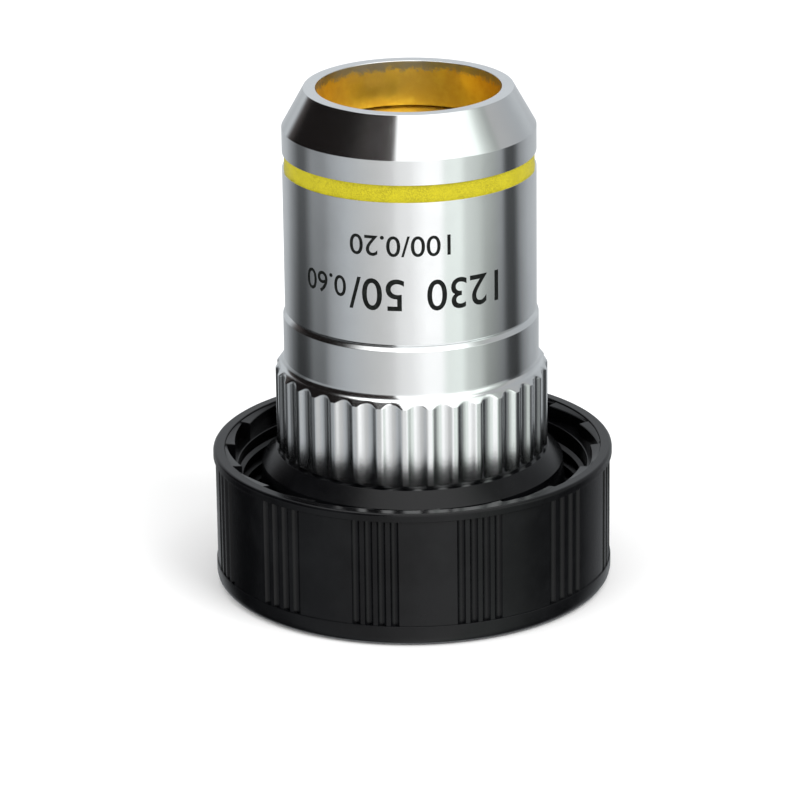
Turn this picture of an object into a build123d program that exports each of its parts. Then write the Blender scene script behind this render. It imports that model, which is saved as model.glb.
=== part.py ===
from build123d import *
import os
from math import copysign, pi, radians, sin, cos, sqrt

# A microscope objective, nose up, screwed into the moulded cap that it is kept on.
# Sizes are in millimetres and angles in degrees. The optical axis is +Z, the cap's
# foot is z = 0 and the front faces -Y. Angles around the axis count from +X.

# Lenses: rim radius, centre thickness, and the radius of each face. A face radius is
# positive where the rim of the face lies above its centre. The lip is what the cell
# shows below the rim of its lens.
fit_clearance = 0.03
lens_seat_gap = 0.02
rear_lens_rim = 5.9
rear_lens_thickness = 1.8
rear_lens_low_face = -9.0
rear_lens_high_face = -14.0
rear_lens_lip_width = 0.7
rear_lens_lip_thickness = 0.8

rear_doublet_rim = 6.9
rear_crown_thickness = 4.3
rear_crown_low_face = 17.0
rear_cement_face = -12.5
rear_flint_thickness = 1.1
rear_flint_high_face = -60.0
rear_doublet_lip_width = 0.9
rear_doublet_lift = 0.35
rear_doublet_head_room = 0.45

front_doublet_rim = 6.4
front_crown_thickness = 4.3
front_crown_low_face = 14.0
front_cement_face = -10.8
front_flint_thickness = 0.9
front_flint_high_face = 70.0
front_doublet_lip_width = 0.9
front_doublet_lift = 0.2
front_doublet_head_room = 0.2

front_lens_rim = 6.2
front_lens_thickness = 2.6
front_lens_low_face = 9.0
front_lens_high_face = 16.0
front_lens_lip_width = 1.0
front_lens_lift = 0.15
front_lens_head_room = 1.55

# Lens cells and the spacers between them
cell_wall = 1.24
rear_cell_head_room = 1.3
rear_spacer_height = 1.9
middle_spacer_height = 0.7
front_spacer_height = 0.5
spacer_wall = 0.97
aperture_stop_radius = 4.2
aperture_stop_thickness = 0.6
running_clearance = 0.08

# Inner barrel and its rings
barrel_wall = 1.0
barrel_seat_clearance = 0.05
barrel_foot_ledge = 1.4
barrel_foot_thickness = 1.4
parfocal_ring_width = 1.65
parfocal_ring_height = 1.5
lock_ring_height = 1.6
lock_ring_wall_gap = 0.1
lock_ring_head_room = 0.3
retainer_thread_length = 1.6
retainer_flange_inset = 0.1
retainer_flange_thickness = 0.6
retainer_opening_radius = 5.6
retainer_countersink = 0.6
spanner_slot_width = 1.2
spanner_slot_depth = 0.5

# Outer sleeve and the colour band in its groove
sleeve_wall = 0.97
sleeve_edge_chamfer = 0.25
sleeve_barrel_gap = 0.4
sleeve_nose_gap = 0.2
nose_cover = 0.45
nose_wall = 1.15
nose_recess_depth = 4.4
bevel_height = 3.75
band_below_nose = 6.1
band_width = 1.65
band_groove_depth = 0.3
band_recess = 0.15

# Mount body: fluted ring, collar and the spigot inside the sleeve
spigot_wall = 1.75
spigot_length = 6.1
parfocal_seat_height = 1.9
collar_step = 0.18
collar_height = 5.2
collar_edge_chamfer = 0.4
cove_radius = 2.2
cove_flare = 0.4
flute_ring_step = 0.85
flute_ring_height = 8.6
flute_base_height = 0.6
flute_count = 34
flute_depth = 0.33
flute_cutter_radius = 1.5
flute_ridge_fillet = 0.4
flute_phase = 2.1 - 90.0
flute_ring_foot_chamfer = 0.15
flute_ring_chamfer_height = 0.6

# Standard mounting thread, drawn as a plain cylinder at its crest
thread_radius = 10.13
thread_clearance = 0.05
thread_length = 4.5
thread_end_chamfer = 0.4
thread_relief_depth = 0.53
thread_relief_width = 0.8

# Storage cap: a threaded boss, a gap for the tube and a wall around it
cap_height = 13.3
cap_floor = 2.0
boss_wall = 4.32
boss_chamfer = 1.4
boss_mouth_chamfer = 0.4
tube_gap = 2.3
cap_wall_thickness = 2.2
cap_rim_step = 0.2
cap_rim_height = 0.8
cap_flange_step = 0.1
cap_flange_height = 2.0
cap_foot_fillet = 1.9

# Lip of the cap: a plain ring, then ramps that step back like a ratchet
lip_ring_width = 1.1
lip_step = 0.25
ramp_count = 18
ramp_height = 1.6
ramp_shallow_step = 0.2
ramp_deep_step = 0.3
ramp_phase = 8.0 - 90.0

# Grip of the cap: groups of narrow grooves between plain panels
grip_group_count = 12
grip_grooves_in_group = 4
grip_groove_pitch = 3.7
grip_groove_radius = 0.42
grip_groove_depth = 0.3
grip_phase = -11.0 - 90.0

# Radii that follow from the sizes above, from the lenses outwards
cell_radius = rear_doublet_rim + fit_clearance + cell_wall
spacer_bore_radius = cell_radius - spacer_wall
barrel_bore_radius = cell_radius + fit_clearance
barrel_foot_radius = barrel_bore_radius - barrel_foot_ledge
barrel_radius = barrel_bore_radius + barrel_wall
retainer_flange_radius = barrel_radius - retainer_flange_inset
body_bore_radius = barrel_radius + barrel_seat_clearance
body_passage_radius = body_bore_radius - parfocal_ring_width
spigot_radius = body_bore_radius + spigot_wall
sleeve_radius = spigot_radius + fit_clearance + sleeve_wall
sleeve_bore_radius = barrel_radius + sleeve_barrel_gap
nose_bore_radius = barrel_radius - nose_cover
nose_radius = nose_bore_radius + nose_wall
collar_radius = sleeve_radius + collar_step
cove_foot_radius = collar_radius + cove_flare
flute_ring_radius = collar_radius + flute_ring_step
thread_relief_radius = thread_radius - thread_relief_depth
boss_bore_radius = thread_radius + thread_clearance
boss_radius = boss_bore_radius + boss_wall
cap_wall_radius = boss_radius + tube_gap
cap_panel_radius = cap_wall_radius + cap_wall_thickness
cap_flange_radius = cap_panel_radius + cap_flange_step
cap_rim_radius = cap_panel_radius + cap_rim_step
lip_ring_radius = cap_rim_radius - lip_ring_width
ramp_shallow_radius = lip_ring_radius - ramp_shallow_step
ramp_deep_radius = cap_wall_radius + ramp_deep_step


def face_rise(face_radius, distance):
    """Height of a lens face above its centre, at a distance from the axis."""
    drop = abs(face_radius) - sqrt(face_radius**2 - distance**2)
    return copysign(drop, face_radius)


# Heights that follow from the sizes above, from the shoulder on the cap upwards
shoulder_z = cap_height
thread_foot_z = shoulder_z - thread_length
flute_low_z = shoulder_z + flute_base_height
collar_foot_z = shoulder_z + flute_ring_height
seam_z = collar_foot_z + collar_height
spigot_top_z = seam_z + spigot_length
lock_ring_top_z = spigot_top_z + lock_ring_height
parfocal_seat_z = shoulder_z + parfocal_seat_height
barrel_foot_z = parfocal_seat_z + parfocal_ring_height
rear_cell_z = barrel_foot_z + barrel_foot_thickness
rear_lip_top_z = rear_cell_z + rear_lens_lip_thickness
rear_lens_low_z = rear_lip_top_z - face_rise(rear_lens_low_face, rear_lens_rim)
rear_lens_high_z = rear_lens_low_z + rear_lens_thickness
rear_spacer_z = rear_lens_high_z + rear_cell_head_room - rear_spacer_height
rear_doublet_cell_z = rear_spacer_z + rear_spacer_height
rear_crown_low_z = rear_doublet_cell_z + rear_doublet_lift
rear_cement_z = rear_crown_low_z + rear_crown_thickness
rear_flint_high_z = rear_cement_z + rear_flint_thickness
aperture_stop_z = rear_flint_high_z + rear_doublet_head_room
middle_spacer_z = aperture_stop_z + aperture_stop_thickness
front_doublet_cell_z = middle_spacer_z + middle_spacer_height
front_crown_low_z = front_doublet_cell_z + front_doublet_lift
front_cement_z = front_crown_low_z + front_crown_thickness
front_flint_high_z = front_cement_z + front_flint_thickness
front_spacer_z = front_flint_high_z + front_doublet_head_room
front_cell_z = front_spacer_z + front_spacer_height
front_lens_low_z = front_cell_z + front_lens_lift
front_lens_high_z = front_lens_low_z + front_lens_thickness
retainer_z = front_lens_high_z + front_lens_head_room
barrel_top_z = retainer_z + retainer_thread_length
ledge_z = barrel_top_z + retainer_flange_thickness
nose_recess_z = ledge_z + sleeve_nose_gap
nose_z = nose_recess_z + nose_recess_depth
band_high_z = nose_z - band_below_nose
band_low_z = band_high_z - band_width
cove_height = sqrt(cove_radius**2 - (cove_radius - cove_flare) ** 2)


def turned_section(*corners):
    """Closed outline of (radius, height) corners on the plane through the axis."""
    with BuildSketch(Plane.XZ) as section:
        with BuildLine():
            Polyline(*corners, close=True)
        make_face()
    return section.sketch


def tube_section(inner_radius, outer_radius, low, high):
    """Outline of a plain ring or tube between two radii and two heights."""
    return turned_section(
        (inner_radius, low),
        (outer_radius, low),
        (outer_radius, high),
        (inner_radius, high),
    )


def lens_section(rim, low_centre, low_face, high_centre, high_face):
    """Half outline of a lens with two spherical faces and a ground rim."""
    low_rim = low_centre + face_rise(low_face, rim)
    high_rim = high_centre + face_rise(high_face, rim)
    half = rim / 2
    with BuildSketch(Plane.XZ) as section:
        with BuildLine():
            ThreePointArc(
                (0, low_centre),
                (half, low_centre + face_rise(low_face, half)),
                (rim, low_rim),
            )
            Line((rim, low_rim), (rim, high_rim))
            ThreePointArc(
                (rim, high_rim),
                (half, high_centre + face_rise(high_face, half)),
                (0, high_centre),
            )
            Line((0, high_centre), (0, low_centre))
        make_face()
    return section.sketch


def cell_section(low, high, lens_rim, lip_radius, lip_top):
    """Outline of a lens cell: a ring with a lip below the lens that it holds."""
    lens_bore = lens_rim + fit_clearance
    return turned_section(
        (lip_radius, low),
        (cell_radius, low),
        (cell_radius, high),
        (lens_bore, high),
        (lens_bore, lip_top),
        (lip_radius, lip_top),
    )


# Storage cap: wall, rim and foot in one moulding, with the threaded boss in the middle
with BuildPart() as storage_cap:
    with BuildSketch(Plane.XZ) as cap_outline:
        with BuildLine():
            Polyline(
                (0, 0),
                (cap_flange_radius, 0),
                (cap_flange_radius, cap_flange_height),
                (cap_panel_radius, cap_flange_height),
                (cap_panel_radius, cap_height - cap_rim_height),
                (cap_rim_radius, cap_height - cap_rim_height),
                (cap_rim_radius, cap_height),
                (lip_ring_radius, cap_height),
                (lip_ring_radius, cap_height - lip_step),
                (cap_wall_radius, cap_height - lip_step),
                (cap_wall_radius, cap_floor),
                (boss_radius, cap_floor),
                (boss_radius, cap_height - boss_chamfer),
                (boss_radius - boss_chamfer, cap_height),
                (boss_bore_radius + boss_mouth_chamfer, cap_height),
                (boss_bore_radius, cap_height - boss_mouth_chamfer),
                (boss_bore_radius, cap_floor),
                (0, cap_floor),
                close=True,
            )
        make_face()
        foot_corner = cap_outline.vertices().group_by(Axis.Y)[0].sort_by(Axis.X)[-1]
        fillet(foot_corner, min(cap_foot_fillet, 0.95 * cap_flange_height))
    revolve(axis=Axis.Z)
    # the lip is cut back to its ramps, from the gap between boss and wall outwards
    with BuildSketch(Plane.XY.offset(cap_height - lip_step)):
        ramp_step = 360 / ramp_count
        with BuildLine():
            ramp_corners = []
            for index in range(ramp_count):
                start = radians(ramp_phase + index * ramp_step)
                end = radians(ramp_phase + (index + 1) * ramp_step)
                ramp_corners.append((ramp_shallow_radius * cos(start), ramp_shallow_radius * sin(start)))
                ramp_corners.append((ramp_deep_radius * cos(end), ramp_deep_radius * sin(end)))
            Polyline(*ramp_corners, close=True)
        make_face()
        Circle((boss_radius + cap_wall_radius) / 2, mode=Mode.SUBTRACT)
    extrude(amount=-ramp_height, mode=Mode.SUBTRACT)
    # grip grooves, between the flange and the rim
    with BuildSketch(Plane.XY.offset(cap_flange_height)):
        for index in range(grip_grooves_in_group):
            offset_angle = (index - (grip_grooves_in_group - 1) / 2) * grip_groove_pitch
            with PolarLocations(
                cap_panel_radius - grip_groove_depth + grip_groove_radius,
                grip_group_count,
                start_angle=grip_phase + offset_angle,
            ):
                Circle(grip_groove_radius)
    extrude(amount=cap_height - cap_rim_height - cap_flange_height, mode=Mode.SUBTRACT)
storage_cap.part.label = "storage_cap"

# Mount body: fluted ring first, then everything that is turned
flute_pitch = 2 * pi * flute_ring_radius / flute_count
flute_axis_radius = flute_ring_radius - flute_depth + flute_cutter_radius
flute_half_width = sqrt(flute_cutter_radius**2 - (flute_cutter_radius - flute_depth) ** 2)
ridge_land = flute_pitch - 2 * flute_half_width
ridge_fillet = min(flute_ridge_fillet, ridge_land)
cove_middle_radius = collar_radius + cove_radius - sqrt(cove_radius**2 - (cove_height / 2) ** 2)
with BuildPart() as mount_body:
    with BuildSketch(Plane.XY.offset(flute_low_z)) as fluted_ring:
        with PolarLocations(0, 1, start_angle=flute_phase):
            Circle(flute_ring_radius)
        with PolarLocations(flute_axis_radius, flute_count, start_angle=flute_phase):
            Circle(flute_cutter_radius, mode=Mode.SUBTRACT)
        fillet(fluted_ring.vertices(), ridge_fillet)
    extrude(amount=flute_ring_height - flute_base_height)
    # chamfer on the upper edge of the flutes
    with BuildSketch(Plane.XZ):
        with BuildLine():
            Polyline(
                (cove_foot_radius, collar_foot_z),
                (flute_ring_radius, collar_foot_z - flute_ring_chamfer_height),
                (flute_ring_radius + flute_depth, collar_foot_z - flute_ring_chamfer_height),
                (flute_ring_radius + flute_depth, collar_foot_z),
                close=True,
            )
        make_face()
    revolve(axis=Axis.Z, mode=Mode.SUBTRACT)
    # thread, shoulder, collar with its cove, and spigot
    with BuildSketch(Plane.XZ):
        with BuildLine():
            Polyline(
                (cove_foot_radius, collar_foot_z),
                (thread_relief_radius, collar_foot_z),
                (thread_relief_radius, flute_low_z),
                (flute_ring_radius, flute_low_z),
                (flute_ring_radius, shoulder_z + flute_ring_foot_chamfer),
                (flute_ring_radius - flute_ring_foot_chamfer, shoulder_z),
                (thread_relief_radius, shoulder_z),
                (thread_relief_radius, shoulder_z - thread_relief_width),
                (thread_radius, shoulder_z - thread_relief_width),
                (thread_radius, thread_foot_z + thread_end_chamfer),
                (thread_radius - thread_end_chamfer, thread_foot_z),
                (body_passage_radius, thread_foot_z),
                (body_passage_radius, spigot_top_z),
                (spigot_radius, spigot_top_z),
                (spigot_radius, seam_z),
                (collar_radius - collar_edge_chamfer, seam_z),
                (collar_radius, seam_z - collar_edge_chamfer),
                (collar_radius, collar_foot_z + cove_height),
            )
            ThreePointArc(
                (collar_radius, collar_foot_z + cove_height),
                (cove_middle_radius, collar_foot_z + cove_height / 2),
                (cove_foot_radius, collar_foot_z),
            )
        make_face()
    revolve(axis=Axis.Z)
    # stepped bore: the barrel's seat above, the light's way out below
    with BuildSketch(Plane.XY.offset(parfocal_seat_z)):
        Circle(body_bore_radius)
    extrude(amount=spigot_top_z - parfocal_seat_z, mode=Mode.SUBTRACT)
    with BuildSketch(Plane.XY.offset(thread_foot_z)):
        Circle(body_passage_radius)
    extrude(amount=parfocal_seat_z - thread_foot_z, mode=Mode.SUBTRACT)
mount_body.part.label = "mount_body"

# Outer sleeve: plated tube with a bevelled nose, screwed over the spigot
with BuildPart() as outer_sleeve:
    with BuildSketch(Plane.XZ):
        with BuildLine():
            Polyline(
                (spigot_radius + fit_clearance, seam_z),
                (sleeve_radius - sleeve_edge_chamfer, seam_z),
                (sleeve_radius, seam_z + sleeve_edge_chamfer),
                (sleeve_radius, band_low_z),
                (sleeve_radius - band_groove_depth, band_low_z),
                (sleeve_radius - band_groove_depth, band_high_z),
                (sleeve_radius, band_high_z),
                (sleeve_radius, nose_z - bevel_height),
                (nose_radius, nose_z),
                (nose_bore_radius, nose_z),
                (nose_bore_radius, nose_recess_z),
                (sleeve_bore_radius, nose_recess_z),
                (sleeve_bore_radius, lock_ring_top_z + lock_ring_head_room),
                (spigot_radius + fit_clearance, lock_ring_top_z + lock_ring_head_room),
                close=True,
            )
        make_face()
    revolve(axis=Axis.Z)
outer_sleeve.part.label = "outer_sleeve"

# Colour band: enamel that fills most of the groove around the sleeve
with BuildPart() as colour_band:
    band_inner_radius = sleeve_radius - band_groove_depth
    revolve(tube_section(band_inner_radius, sleeve_radius - band_recess, band_low_z, band_high_z))
colour_band.part.label = "colour_band"

# Parfocal ring: sets the height of the barrel in the mount body
with BuildPart() as parfocal_ring:
    ring_radius = body_bore_radius - fit_clearance
    revolve(tube_section(body_passage_radius, ring_radius, parfocal_seat_z, barrel_foot_z))
parfocal_ring.part.label = "parfocal_ring"

# Lock ring: clamps the barrel on top of the spigot
with BuildPart() as lock_ring:
    ring_bore = barrel_radius + fit_clearance
    ring_radius = spigot_radius - lock_ring_wall_gap
    revolve(tube_section(ring_bore, ring_radius, spigot_top_z, lock_ring_top_z))
    with Locations((0, 0, lock_ring_top_z)):
        Box(2 * spigot_radius, spanner_slot_width, 2 * spanner_slot_depth, mode=Mode.SUBTRACT)
lock_ring.part.label = "lock_ring"

# Inner barrel: tube that holds the stack of cells on its foot
with BuildPart() as lens_barrel:
    with BuildSketch(Plane.XZ):
        with BuildLine():
            Polyline(
                (barrel_foot_radius, barrel_foot_z),
                (barrel_radius, barrel_foot_z),
                (barrel_radius, barrel_top_z),
                (barrel_bore_radius, barrel_top_z),
                (barrel_bore_radius, rear_cell_z),
                (barrel_foot_radius, rear_cell_z),
                close=True,
            )
        make_face()
    revolve(axis=Axis.Z)
lens_barrel.part.label = "lens_barrel"

# Rear group: one meniscus in its cell
with BuildPart() as rear_cell:
    lip_radius = rear_lens_rim - rear_lens_lip_width
    revolve(cell_section(rear_cell_z, rear_spacer_z, rear_lens_rim, lip_radius, rear_lip_top_z))
rear_cell.part.label = "rear_cell"

with BuildPart() as rear_lens:
    revolve(
        lens_section(
            rear_lens_rim,
            rear_lens_low_z,
            rear_lens_low_face,
            rear_lens_high_z,
            rear_lens_high_face,
        )
    )
rear_lens.part.label = "rear_lens"

with BuildPart() as rear_spacer:
    revolve(tube_section(spacer_bore_radius, cell_radius, rear_spacer_z, rear_doublet_cell_z))
rear_spacer.part.label = "rear_spacer"

# Rear doublet: crown below, flint cemented on top, in one cell
with BuildPart() as rear_doublet_cell:
    lip_radius = rear_doublet_rim - rear_doublet_lip_width
    lip_top = rear_crown_low_z + face_rise(rear_crown_low_face, lip_radius) - lens_seat_gap
    revolve(cell_section(rear_doublet_cell_z, aperture_stop_z, rear_doublet_rim, lip_radius, lip_top))
rear_doublet_cell.part.label = "rear_doublet_cell"

with BuildPart() as rear_doublet_crown:
    revolve(
        lens_section(
            rear_doublet_rim,
            rear_crown_low_z,
            rear_crown_low_face,
            rear_cement_z,
            rear_cement_face,
        )
    )
rear_doublet_crown.part.label = "rear_doublet_crown"

with BuildPart() as rear_doublet_flint:
    revolve(
        lens_section(
            rear_doublet_rim,
            rear_cement_z,
            rear_cement_face,
            rear_flint_high_z,
            rear_flint_high_face,
        )
    )
rear_doublet_flint.part.label = "rear_doublet_flint"

# Aperture stop: thin blackened ring, free to turn between the cell and the spacer
with BuildPart() as aperture_stop:
    stop_rim = barrel_bore_radius - running_clearance
    revolve(tube_section(aperture_stop_radius, stop_rim, aperture_stop_z, middle_spacer_z))
aperture_stop.part.label = "aperture_stop"

with BuildPart() as middle_spacer:
    revolve(tube_section(spacer_bore_radius, cell_radius, middle_spacer_z, front_doublet_cell_z))
middle_spacer.part.label = "middle_spacer"

# Front doublet: built like the rear one, a little smaller
with BuildPart() as front_doublet_cell:
    lip_radius = front_doublet_rim - front_doublet_lip_width
    lip_top = front_crown_low_z + face_rise(front_crown_low_face, lip_radius) - lens_seat_gap
    revolve(cell_section(front_doublet_cell_z, front_spacer_z, front_doublet_rim, lip_radius, lip_top))
front_doublet_cell.part.label = "front_doublet_cell"

with BuildPart() as front_doublet_crown:
    revolve(
        lens_section(
            front_doublet_rim,
            front_crown_low_z,
            front_crown_low_face,
            front_cement_z,
            front_cement_face,
        )
    )
front_doublet_crown.part.label = "front_doublet_crown"

with BuildPart() as front_doublet_flint:
    revolve(
        lens_section(
            front_doublet_rim,
            front_cement_z,
            front_cement_face,
            front_flint_high_z,
            front_flint_high_face,
        )
    )
front_doublet_flint.part.label = "front_doublet_flint"

with BuildPart() as front_spacer:
    revolve(tube_section(spacer_bore_radius, cell_radius, front_spacer_z, front_cell_z))
front_spacer.part.label = "front_spacer"

# Front group: thick meniscus in its cell, held down by the brass ring seen in the nose
with BuildPart() as front_cell:
    lip_radius = front_lens_rim - front_lens_lip_width
    lip_top = front_lens_low_z + face_rise(front_lens_low_face, lip_radius) - lens_seat_gap
    revolve(cell_section(front_cell_z, retainer_z, front_lens_rim, lip_radius, lip_top))
front_cell.part.label = "front_cell"

with BuildPart() as front_lens:
    revolve(
        lens_section(
            front_lens_rim,
            front_lens_low_z,
            front_lens_low_face,
            front_lens_high_z,
            front_lens_high_face,
        )
    )
front_lens.part.label = "front_lens"

with BuildPart() as front_retaining_ring:
    with BuildSketch(Plane.XZ):
        with BuildLine():
            Polyline(
                (retainer_opening_radius, retainer_z),
                (cell_radius, retainer_z),
                (cell_radius, barrel_top_z),
                (retainer_flange_radius, barrel_top_z),
                (retainer_flange_radius, ledge_z),
                (retainer_opening_radius + retainer_countersink, ledge_z),
                (retainer_opening_radius, ledge_z - retainer_countersink),
                close=True,
            )
        make_face()
    revolve(axis=Axis.Z)
    with Locations((0, 0, ledge_z)):
        Box(2 * retainer_flange_radius, spanner_slot_width, 2 * spanner_slot_depth, mode=Mode.SUBTRACT)
front_retaining_ring.part.label = "front_retaining_ring"

os.makedirs("parts", exist_ok=True)
export_step(storage_cap.part, "parts/storage_cap.step")
export_step(mount_body.part, "parts/mount_body.step")
export_step(outer_sleeve.part, "parts/outer_sleeve.step")
export_step(colour_band.part, "parts/colour_band.step")
export_step(parfocal_ring.part, "parts/parfocal_ring.step")
export_step(lock_ring.part, "parts/lock_ring.step")
export_step(lens_barrel.part, "parts/lens_barrel.step")
export_step(rear_cell.part, "parts/rear_cell.step")
export_step(rear_lens.part, "parts/rear_lens.step")
export_step(rear_spacer.part, "parts/rear_spacer.step")
export_step(rear_doublet_cell.part, "parts/rear_doublet_cell.step")
export_step(rear_doublet_crown.part, "parts/rear_doublet_crown.step")
export_step(rear_doublet_flint.part, "parts/rear_doublet_flint.step")
export_step(aperture_stop.part, "parts/aperture_stop.step")
export_step(middle_spacer.part, "parts/middle_spacer.step")
export_step(front_doublet_cell.part, "parts/front_doublet_cell.step")
export_step(front_doublet_crown.part, "parts/front_doublet_crown.step")
export_step(front_doublet_flint.part, "parts/front_doublet_flint.step")
export_step(front_spacer.part, "parts/front_spacer.step")
export_step(front_cell.part, "parts/front_cell.step")
export_step(front_lens.part, "parts/front_lens.step")
export_step(front_retaining_ring.part, "parts/front_retaining_ring.step")
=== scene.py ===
"""A microscope objective screwed into its storage cap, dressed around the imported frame.

Lengths are in metres. The optical axis is +Z, the cap's foot is z = 0 and the front faces -Y.
An azimuth is an angle round the axis, from the front towards +X.
"""

import logging
import math
from dataclasses import dataclass, field
from enum import Enum
from typing import Callable, Iterable, Optional, Sequence

import bmesh
import bpy
import numpy as np
from mathutils import Matrix, Vector


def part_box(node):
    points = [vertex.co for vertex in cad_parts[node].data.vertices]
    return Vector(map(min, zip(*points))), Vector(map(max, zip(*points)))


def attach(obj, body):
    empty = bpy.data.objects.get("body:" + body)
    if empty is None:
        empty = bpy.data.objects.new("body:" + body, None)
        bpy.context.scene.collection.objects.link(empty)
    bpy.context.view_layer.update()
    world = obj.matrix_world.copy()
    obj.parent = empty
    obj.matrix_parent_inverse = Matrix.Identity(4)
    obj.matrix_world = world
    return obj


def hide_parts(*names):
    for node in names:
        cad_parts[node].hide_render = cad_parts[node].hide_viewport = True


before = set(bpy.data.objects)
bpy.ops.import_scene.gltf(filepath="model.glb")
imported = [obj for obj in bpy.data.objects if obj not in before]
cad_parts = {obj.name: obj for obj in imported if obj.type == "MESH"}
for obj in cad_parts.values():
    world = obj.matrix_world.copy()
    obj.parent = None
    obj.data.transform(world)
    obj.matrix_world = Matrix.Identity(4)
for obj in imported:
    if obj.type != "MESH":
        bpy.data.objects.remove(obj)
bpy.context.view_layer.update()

LOG = logging.getLogger("objective")
MM = 0.001
TURN = 2 * math.pi
FRONT = math.radians(-90.0)
# Rounding error that is let through where angles are compared.
SLACK = 1e-6
MOUNT_PITCH = 25.4 / 36 * MM


class Body(Enum):
    """The bodies of the frame that pieces ride on."""

    CAP = "cap"
    OBJECTIVE = "objective"


class Slot(Enum):
    """The record's material slots that the visible pieces are logged with."""

    CHROME = "chrome_plate"
    BLACK_METAL = "blackened_brass"
    ENAMEL = "yellow_enamel"
    PLASTIC = "black_plastic"


class Pattern(Enum):
    """What is cut into a wall of a turned piece."""

    PLAIN = "plain"
    GRIP = "grip"
    RAMP = "ramp"
    FLUTE = "flute"


def placed(name: str, data: bpy.types.ID) -> bpy.types.Object:
    """Makes an object and puts it into the scene."""
    thing = bpy.data.objects.new(name, data)
    bpy.context.scene.collection.objects.link(thing)
    return thing


@dataclass(frozen=True)
class Corner:
    """One corner of a turned piece's outline.

    Args:
        radius: distance from the axis.
        height: height above the cap's foot.
        rounding: radius of the arc that takes the corner off.
        pattern: what is cut into the wall there.
    """

    radius: float
    height: float
    rounding: float = 0.0
    pattern: Pattern = Pattern.PLAIN


class Outline:
    """The half section of a turned piece, with its corners rounded.

    Outer walls run upwards and inner walls downwards, so that faces point outwards.
    """

    ARC_STEPS = 4
    LARGEST_SHARE = 0.48

    def __init__(self, corners: Sequence[Corner], closed: bool = True) -> None:
        """Works out the points of the outline.

        Args:
            corners: the corners in order.
            closed: whether the last corner joins the first.
        """
        self.closed = closed
        places: list[np.ndarray] = []
        self.patterns: list[Pattern] = []
        for index, corner in enumerate(corners):
            for place in self._rounded(corners, index):
                places.append(place)
                self.patterns.append(corner.pattern)
        points = np.array(places)
        self.radii = points[:, 0]
        self.heights = points[:, 1]

    def _rounded(self, corners: Sequence[Corner], index: int) -> list[np.ndarray]:
        """Points that stand for one corner.

        Args:
            corners: all corners of the outline.
            index: which corner.

        Returns:
            The corner itself, or the points of its arc.
        """
        corner = corners[index]
        here = np.array([corner.radius, corner.height])
        at_end = not self.closed and index in (0, len(corners) - 1)
        if corner.rounding <= 0.0 or at_end:
            return [here]
        before = corners[index - 1]
        after = corners[(index + 1) % len(corners)]
        back = np.array([before.radius, before.height]) - here
        ahead = np.array([after.radius, after.height]) - here
        shorter = min(np.linalg.norm(back), np.linalg.norm(ahead))
        back /= np.linalg.norm(back)
        ahead /= np.linalg.norm(ahead)
        half = math.acos(float(np.clip(back @ ahead, -1.0, 1.0))) / 2
        reach = min(corner.rounding / math.tan(half), self.LARGEST_SHARE * shorter)
        radius = reach * math.tan(half)
        middle = back + ahead
        centre = here + middle / np.linalg.norm(middle) * radius / math.sin(half)
        start = here + back * reach - centre
        turn = math.pi - 2 * half
        if start[0] * ahead[1] - start[1] * ahead[0] < 0:
            turn = -turn
        points = []
        for step in range(self.ARC_STEPS + 1):
            angle = turn * step / self.ARC_STEPS
            spin = np.array([[math.cos(angle), -math.sin(angle)], [math.sin(angle), math.cos(angle)]])
            points.append(centre + spin @ start)
        return points


Shape = Callable[[Pattern, np.ndarray, np.ndarray], np.ndarray]


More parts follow.
